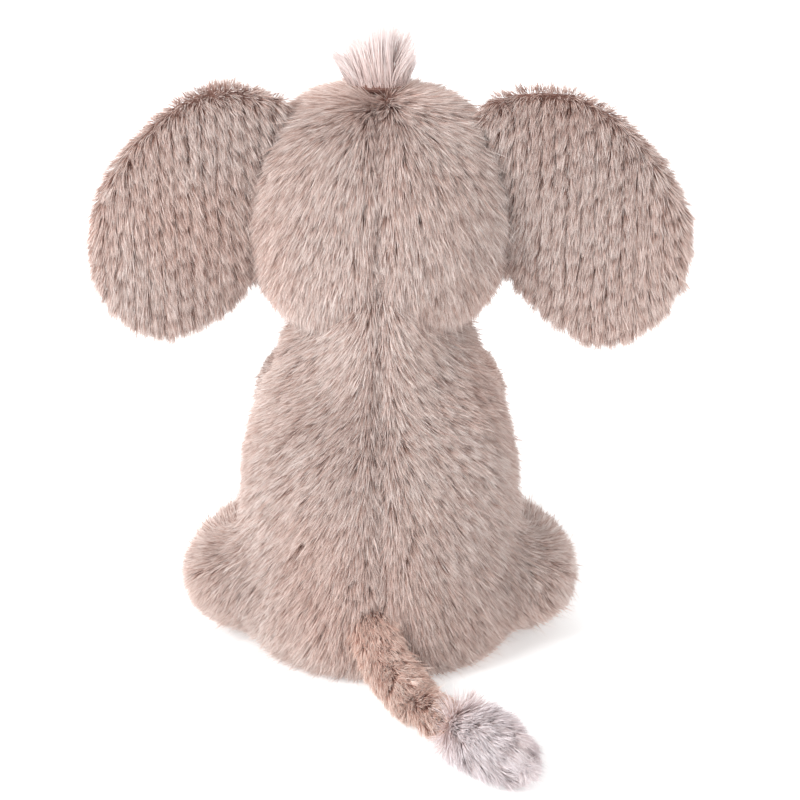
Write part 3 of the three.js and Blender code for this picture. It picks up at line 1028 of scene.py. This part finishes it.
# the backing's second, darker colour is painted shade for the troughs of its ribs
backing = knitted_backing("knitted_backing", (0.34, 0.20, 0.16), (0.20, 0.10, 0.08))
filling = fibre_filling("fibre_filling", (0.92, 0.91, 0.88), (0.72, 0.70, 0.66))
pellet_cloth = fibre_filling("pellet_cloth", (0.80, 0.76, 0.68), (0.62, 0.58, 0.50))
eye_plastic = moulded_plastic("eye_plastic", (0.012, 0.008, 0.006), 0.08)
washer_plastic = moulded_plastic("washer_plastic", (0.75, 0.75, 0.73), 0.4)


def arm_reach(places, normals):
    """Shorter on the shoulder, which lies close to the torso."""
    shoulder = np.clip((places[:, 2] - 100 * MM) / (15 * MM), 0, 1)
    return (7.5 - 3.5 * shoulder) * MM


LIMBS = {
    "arm": {"voxel": 2.5 * MM, "reach": arm_reach, "flow": along_arm},
    "leg": {"voxel": 3 * MM, "reach": 9 * MM, "flow": thigh_and_leg},
}
SOLE_PILE = 3 * MM
TRUNK_ROUTE = [(0, -38, 190), (0, -60, 187), (0, -76, 170), (0, -80, 150), (0, -83, 134), (0, -90, 118)]
TAIL_ROUTE = [(3, 46, 27), (-1, 60, 19), (-8, 73, 12.5), (-16, 85, 10), (-23, 95, 9.5), (-31, 105, 9.5)]
BRUSH_ROUTE = [(-31, 105, 9.5), (-44, 124, 11), (-56, 145, 13)]
# each tube's pile material is its own colour with painted shade at the roots
TUBES = {
    "trunk": {"route": TRUNK_ROUTE, "reach": 5.5 * MM, "dye_and_root_shade": fur, "look": SHORT},
    "trunk_tip": {"route": TRUNK_ROUTE, "reach": 5 * MM, "dye_and_root_shade": fur, "look": SHORT},
    "tail": {"route": TAIL_ROUTE, "reach": 6 * MM, "dye_and_root_shade": tail_fur, "look": TAIL_PILE},
    "tail_end": {"route": TAIL_ROUTE, "reach": 6.5 * MM, "dye_and_root_shade": tail_fur, "look": TAIL_PILE},
}
EYE_RADIUS = 6 * MM
EYE_STEM_RADIUS = 2 * MM
EYE_STEM_LENGTH = 10 * MM
TUFT_ROOT = (13 * MM, 8 * MM, 4 * MM)  # half the width, depth and height of the tuft's root
TUFT_LENGTH = 29 * MM


def paint_filling():
    materials = {
        "stuffing": filling,
        "batting": filling,
        "pellet_bag": pellet_cloth,
        "washer": washer_plastic,
    }
    for name, node in frame["nodes"].items():
        for word, material in materials.items():
            if word in name:
                paint(node, material)


def add_eyes():
    for name, mirror in (LEFT, RIGHT):
        low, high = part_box(f"eye_{name}")
        middle = (low + high) / 2
        ball = Vector((middle.x, low.y + EYE_RADIUS, middle.z))
        built = bmesh.new()
        add_ball(built, ball, (EYE_RADIUS,) * 3, around=32, rings=20)
        stem = ball + Vector((0, EYE_RADIUS + 1 * MM, 0))
        bmesh.ops.create_cone(
            built,
            cap_ends=True,
            segments=16,
            radius1=EYE_STEM_RADIUS,
            radius2=EYE_STEM_RADIUS,
            depth=EYE_STEM_LENGTH,
            matrix=Matrix.Translation(stem) @ Matrix.Rotation(math.pi / 2, 4, "X"),
        )
        eye = finished_object(f"eye_bead_{name}", built)
        eye.data.polygons.foreach_set("use_smooth", [True] * len(eye.data.polygons))
        eye.data.materials.append(eye_plastic)
        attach(eye, "head")
        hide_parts(f"eye_{name}")


def dress_limb(name, part, mirror, torso):
    """An arm's or a leg's form, and the function that dresses it once the form is puffed out."""
    kind = LIMBS[part]
    body = f"{part}_{name}"
    nodes = [f"{body}_sleeve", f"{body}_stuffing"]
    if part == "leg":
        nodes.append(f"sole_{name}")
    form = soft_form(f"{body}_form", nodes, kind["voxel"])
    if part == "leg":
        widen_hips(form)

    def finish():
        flow = kind["flow"](mirror)
        planes = EVERYWHERE
        if part == "leg":
            _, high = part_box(f"sole_{name}")
            sole_seam = high.y - 1 * MM
            planes = [plane(0, sole_seam, 0, (0, 1, 0)), plane(0, SIDE_SEAM + 3 * MM, 0, (0, -1, 0))]
        skin, _ = dress(f"{body}_cover", form, body, planes, flow, kind["reach"], fur, FRONT, [torso])
        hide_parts(f"{body}_sleeve")
        if part == "leg":
            foot = [plane(0, sole_seam, 0, (0, -1, 0))]
            skin, _ = dress(
                f"sole_{name}_pad", form, body, foot, flow, SOLE_PILE, sole_pile, SOLE, [torso]
            )
            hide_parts(f"sole_{name}")

    return form, finish


def dress_tube(name, root):
    """A length of trunk or tail that grows out of the form root, made as dress_limb does."""
    tube = TUBES[name]
    sleeve = f"{name}_sleeve"
    form = soft_form(f"{name}_form", [sleeve, f"{name}_stuffing"], 2 * MM)

    def finish():
        flow = along_route(tube["route"])
        skin, _ = dress(
            f"{name}_cover", form, name, EVERYWHERE, flow, tube["reach"], tube["dye_and_root_shade"], tube["look"], [root]
        )
        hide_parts(sleeve)

    return form, finish


def finish_hair(base, hair, body, node):
    for piece in (base, hair):
        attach(piece, body)
    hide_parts(node)


def add_tuft():
    """The hair on the crown: long, straight, pale strands that fan out as they rise."""
    low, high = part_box("hair_tuft")
    middle = Vector(((low.x + high.x) / 2, (low.y + high.y) / 2, low.z + 3 * MM))
    built = bmesh.new()
    half_width = TUFT_ROOT[0]
    add_ball(built, middle, TUFT_ROOT, around=24, rings=12)
    base = finished_object("tuft_root", built)
    places, normals = places_of(base.data), normals_of(base.data)
    flow = (places - np.array(middle)) * np.array([1, 0.8, 0]) / half_width
    thick = (normals[:, 2] > -0.1).astype(float)
    aside = np.clip(np.abs(places[:, 0] - middle.x) / half_width, 0, 1)
    lengths = TUFT_LENGTH * (1 - 0.4 * aside**2)
    tuft = grow_pile("crown_tuft", base, flow, lengths, thick, fibres["long"], TUFT_HAIR, tuft_hair)
    paint(base, backing)
    finish_hair(base, tuft, "head", "hair_tuft")


def add_tail_brush():
    """The brush of pale hair at the end of the tail, lying on its side."""
    base = soft_form("tail_brush_root", ["tail_tuft"], 1.6 * MM, 4)
    places, normals = places_of(base.data), normals_of(base.data)
    flow = along_route(BRUSH_ROUTE)(places, normals)
    start, _, end = (Vector(point) * MM for point in BRUSH_ROUTE)
    along = (places - np.array(start)) @ np.array((end - start).normalized())
    lengths = (13 - 2 * np.clip(along / (50 * MM), 0, 1)) * MM
    thick = np.ones(len(places))
    brush = grow_pile("tail_brush", base, flow, lengths, thick, fibres["long"], BRUSH_HAIR, tail_hair)
    paint(base, tail_hair)
    finish_hair(base, brush, "tail_end", "tail_tuft")


def build():
    torso_nodes = ["back_panel_left", "back_panel_right", "belly_panel", "seat_panel", "torso_stuffing"]
    torso = soft_form("torso_form", torso_nodes)
    legs = [f"leg_{side}_{part}" for side in SIDES for part in ("sleeve", "stuffing")]
    whole = soft_form("whole_form", [*torso_nodes, *legs, "neck_band", "neck_stuffing"], balls=NAPE)
    span_creases(whole, CREASE)
    widen_hips(whole)
    head = soft_form("head_form", ["head_panel_left", "head_panel_right", "face_panel", "head_stuffing"])
    forms, finishes = {}, []
    for name, mirror in (LEFT, RIGHT):
        forms[f"ear_{name}"], finish = dress_ear(name, mirror, head)
        finishes.append(finish)
        for part in ("arm", "leg"):
            forms[f"{part}_{name}"], finish = dress_limb(name, part, mirror, torso)
            finishes.append(finish)
    for name, end, root in (("trunk", "trunk_tip", head), ("tail", "tail_end", whole)):
        forms[name], finish = dress_tube(name, root)
        finishes.append(finish)
        forms[end], finish = dress_tube(end, forms[name])
        finishes.append(finish)
    puff([whole, torso, head, *forms.values()])

    dress_torso(whole, torso, [forms[f"{part}_{side}"] for part in ("arm", "leg") for side in SIDES])
    dress_head(head, [forms[f"ear_{side}"] for side in SIDES] + [forms["trunk"], whole])
    dress_neck(whole, head, [forms["arm_left"], forms["arm_right"]])
    for finish in finishes:
        finish()
    for form in (whole, torso, head, *forms.values()):
        discard(form)
    add_tuft()
    add_tail_brush()
    add_eyes()
    paint_filling()


add_camera()
add_studio()
build()
